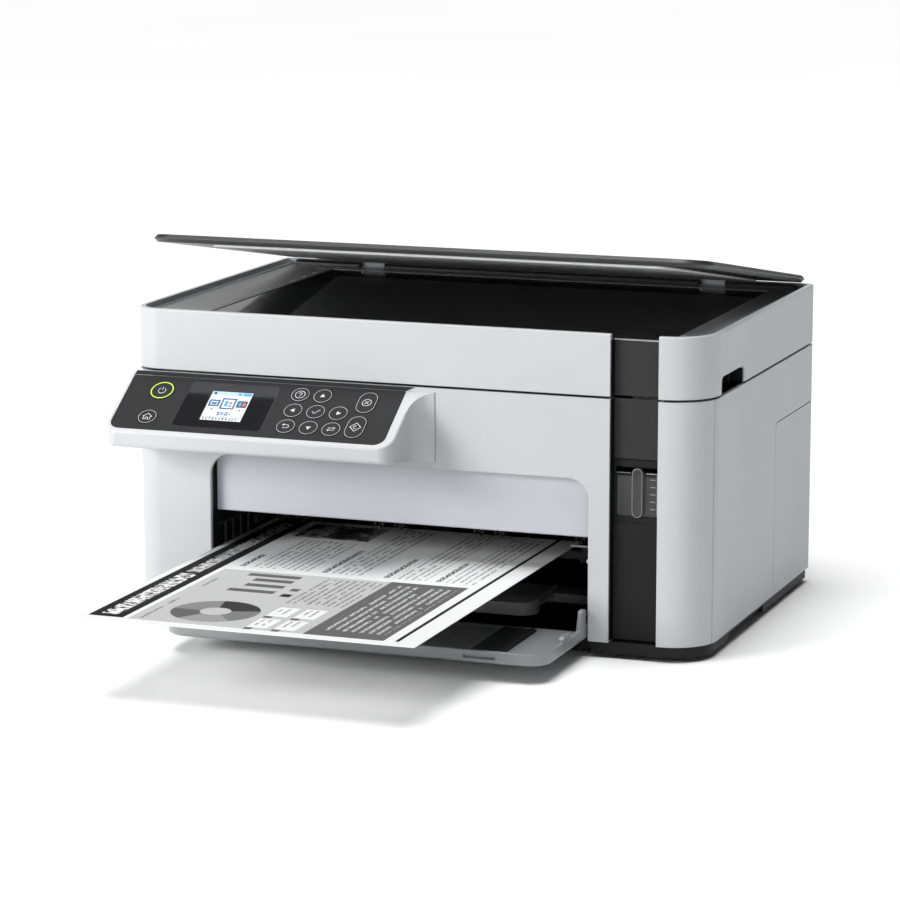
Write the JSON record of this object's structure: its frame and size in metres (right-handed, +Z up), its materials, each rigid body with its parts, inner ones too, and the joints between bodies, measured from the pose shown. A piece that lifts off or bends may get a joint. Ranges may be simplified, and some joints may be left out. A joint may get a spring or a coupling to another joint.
{
  "type": "inkjet printer",
  "caption": "Ink-tank multifunction printer with a lifting scanner, a slanted control panel, an arched paper mouth, an open front flap and a dark column with an ink window.",
  "frame": {"origin": "on the surface the feet stand on, under the middle of the body's width and depth", "axes": "+Z up; -Y is the front, where the paper comes out; +X is to the right seen from the front"},
  "size_m": [0.375, 0.505, 0.2438],
  "materials": {
    "white_plastic": "fine moulded texture, satin white",
    "cover_white": "satin bluish white",
    "column_dark": "satin black",
    "black_plastic": "fine moulded texture, black",
    "deck_plastic": "black, moulded",
    "bezel_plastic": "dark grey, moulded",
    "lid_plastic": "dark grey, fine texture",
    "mat_foam": "smooth grey pad",
    "flap_plastic": "satin grey",
    "smoke_clear": "smoky clear plastic",
    "clear_plastic": "clear plastic",
    "scanner_glass": "float glass over a dark box",
    "panel_black": "satin black",
    "display_black": "polished black window",
    "lcd_screen": "lit colour screen",
    "key_black": "satin black with pale printed rings",
    "power_key": "satin black with a lit ring",
    "paper": null,
    "steel": "zinc-plated sheet",
    "ground_steel": "ground and oiled",
    "belt_rubber": "toothed belt",
    "soft_rubber": "matt rubber",
    "roller_rubber": "ground rubber on a steel shaft",
    "gear_nylon": "natural acetal",
    "board_green": "solder-masked board",
    "supply_grey": "moulded case",
    "ink_pad_grey": "moulded case"
  },
  "bodies": {
    "chassis": {"base_tray": "black_plastic", "rubber_feet": "soft_rubber", "front_panel": "white_plastic", "left_side_panel": "white_plastic", "right_side_panel": "white_plastic", "right_rear_panel": "white_plastic", "right_corner_panel": "white_plastic", "rear_panel": "white_plastic", "inner_deck": "deck_plastic", "front_cover": "cover_white", "column_upper_plate": "column_dark", "column_lower_plate": "column_dark", "ink_tank": "smoke_clear", "sight_window": "clear_plastic", "panel_housing": "white_plastic", "panel_plate": "panel_black", "display_window": "display_black", "lcd_module": "lcd_screen", "printed_sheet": "paper", "platen": "black_plastic", "frame_rail": "steel", "carriage_rod": "ground_steel", "timing_belt": "belt_rubber", "carriage_motor": "steel", "capping_station": "supply_grey", "main_board": "board_green", "power_supply": "supply_grey", "power_inlet": "black_plastic", "maintenance_box": "ink_pad_grey", "case_screws": "steel"},
    "rear_cover": {"rear_cover": "black_plastic"},
    "flap": {"output_flap": "flap_plastic"},
    "edge_guide": {"flap_edge_guide": "black_plastic"},
    "tray": {"output_tray": "black_plastic"},
    "carriage": {"print_carriage": "black_plastic", "print_head": "steel"},
    "pulley": {"motor_pulley": "gear_nylon"},
    "feed_roller": {"feed_roller": "roller_rubber"},
    "exit_roller": {"exit_roller": "roller_rubber"},
    "idler_gear": {"drive_gear": "gear_nylon"},
    "tank_cap": {"tank_cap": "black_plastic"},
    "scanner": {"scanner_case": "white_plastic", "scanner_strip": "column_dark", "scanner_bezel": "bezel_plastic", "scanner_glass": "scanner_glass"},
    "sensor": {"scan_carriage": "black_plastic"},
    "lid": {"lid_cover": "lid_plastic", "document_mat": "mat_foam"},
    "key_power": {"button_power": "power_key"},
    "key_home": {"button_home": "key_black"},
    "key_help": {"button_help": "key_black"},
    "key_up": {"button_up": "key_black"},
    "key_left": {"button_left": "key_black"},
    "key_ok": {"button_ok": "key_black"},
    "key_right": {"button_right": "key_black"},
    "key_back": {"button_back": "key_black"},
    "key_down": {"button_down": "key_black"},
    "key_info": {"button_info": "key_black"},
    "key_stop": {"button_stop": "key_black"},
    "key_start": {"button_start": "key_black"}
  },
  "joints": [
    {"name": "scanner_hinge", "type": "hinge", "parent": "chassis", "child": "scanner", "pos_m": [0, 0.129, 0.158], "axis": [-1, 0, 0], "range_deg": [0, 35]},
    {"name": "lid_hinge", "type": "hinge", "parent": "scanner", "child": "lid", "pos_m": [0, 0.122, 0.202], "axis": [-1, 0, 0], "range_deg": [-9.7, 65]},
    {"name": "sensor_slide", "type": "slide", "parent": "scanner", "child": "sensor", "axis": [1, 0, 0], "range_m": [0, 0.27]},
    {"name": "flap_hinge", "type": "hinge", "parent": "chassis", "child": "flap", "pos_m": [0, -0.12, 0.016], "axis": [-1, 0, 0], "range_deg": [0, 90], "deforming": ["printed_sheet"]},
    {"name": "edge_guide_slide", "type": "slide", "parent": "flap", "child": "edge_guide", "axis": [1, 0, 0], "range_m": [-0.06, 0.02]},
    {"name": "tray_slide", "type": "slide", "parent": "chassis", "child": "tray", "axis": [0, 1, 0], "range_m": [-0.11, 0]},
    {"name": "rear_cover_pull", "type": "slide", "parent": "chassis", "child": "rear_cover", "axis": [0, 1, 0], "range_m": [0, 0.06]},
    {"name": "carriage_slide", "type": "slide", "parent": "chassis", "child": "carriage", "axis": [1, 0, 0], "range_m": [-0.28, 0]},
    {"name": "pulley_turn", "type": "hinge", "parent": "chassis", "child": "pulley", "pos_m": [-0.16, 0.031, 0.12], "axis": [0, 1, 0], "continuous": true},
    {"name": "feed_roller_turn", "type": "hinge", "parent": "chassis", "child": "feed_roller", "pos_m": [0, 0.018, 0.0426], "axis": [1, 0, 0], "continuous": true},
    {"name": "idler_gear_turn", "type": "hinge", "parent": "chassis", "child": "idler_gear", "pos_m": [-0.169, -0.0132, 0.0355], "axis": [1, 0, 0], "continuous": true},
    {"name": "exit_roller_turn", "type": "hinge", "parent": "chassis", "child": "exit_roller", "pos_m": [0, -0.042, 0.0439], "axis": [1, 0, 0], "continuous": true},
    {"name": "tank_cap_hinge", "type": "hinge", "parent": "chassis", "child": "tank_cap", "pos_m": [0.152, -0.056, 0.124], "axis": [-1, 0, 0], "range_deg": [0, 100]},
    {"name": "power_press", "type": "slide", "parent": "chassis", "child": "key_power", "axis": [0, 0.5446, -0.8387], "range_m": [0, 0.0008], "stiffness_N_per_m": 600},
    {"name": "home_press", "type": "slide", "parent": "chassis", "child": "key_home", "axis": [0, 0.5446, -0.8387], "range_m": [0, 0.0008], "stiffness_N_per_m": 600},
    {"name": "help_press", "type": "slide", "parent": "chassis", "child": "key_help", "axis": [0, 0.5446, -0.8387], "range_m": [0, 0.0008], "stiffness_N_per_m": 600},
    {"name": "up_press", "type": "slide", "parent": "chassis", "child": "key_up", "axis": [0, 0.5446, -0.8387], "range_m": [0, 0.0008], "stiffness_N_per_m": 600},
    {"name": "left_press", "type": "slide", "parent": "chassis", "child": "key_left", "axis": [0, 0.5446, -0.8387], "range_m": [0, 0.0008], "stiffness_N_per_m": 600},
    {"name": "ok_press", "type": "slide", "parent": "chassis", "child": "key_ok", "axis": [0, 0.5446, -0.8387], "range_m": [0, 0.0008], "stiffness_N_per_m": 600},
    {"name": "right_press", "type": "slide", "parent": "chassis", "child": "key_right", "axis": [0, 0.5446, -0.8387], "range_m": [0, 0.0008], "stiffness_N_per_m": 600},
    {"name": "back_press", "type": "slide", "parent": "chassis", "child": "key_back", "axis": [0, 0.5446, -0.8387], "range_m": [0, 0.0008], "stiffness_N_per_m": 600},
    {"name": "down_press", "type": "slide", "parent": "chassis", "child": "key_down", "axis": [0, 0.5446, -0.8387], "range_m": [0, 0.0008], "stiffness_N_per_m": 600},
    {"name": "info_press", "type": "slide", "parent": "chassis", "child": "key_info", "axis": [0, 0.5446, -0.8387], "range_m": [0, 0.0008], "stiffness_N_per_m": 600},
    {"name": "stop_press", "type": "slide", "parent": "chassis", "child": "key_stop", "axis": [0, 0.5446, -0.8387], "range_m": [0, 0.0008], "stiffness_N_per_m": 600},
    {"name": "start_press", "type": "slide", "parent": "chassis", "child": "key_start", "axis": [0, 0.5446, -0.8387], "range_m": [0, 0.0008], "stiffness_N_per_m": 600}
  ],
  "couplings": [
    {"joint": "pulley_turn", "follows": "carriage_slide", "rad_per_m": -166.67},
    {"joint": "idler_gear_turn", "follows": "feed_roller_turn", "ratio": -0.68421},
    {"joint": "exit_roller_turn", "follows": "feed_roller_turn", "ratio": 1.1818}
  ]
}
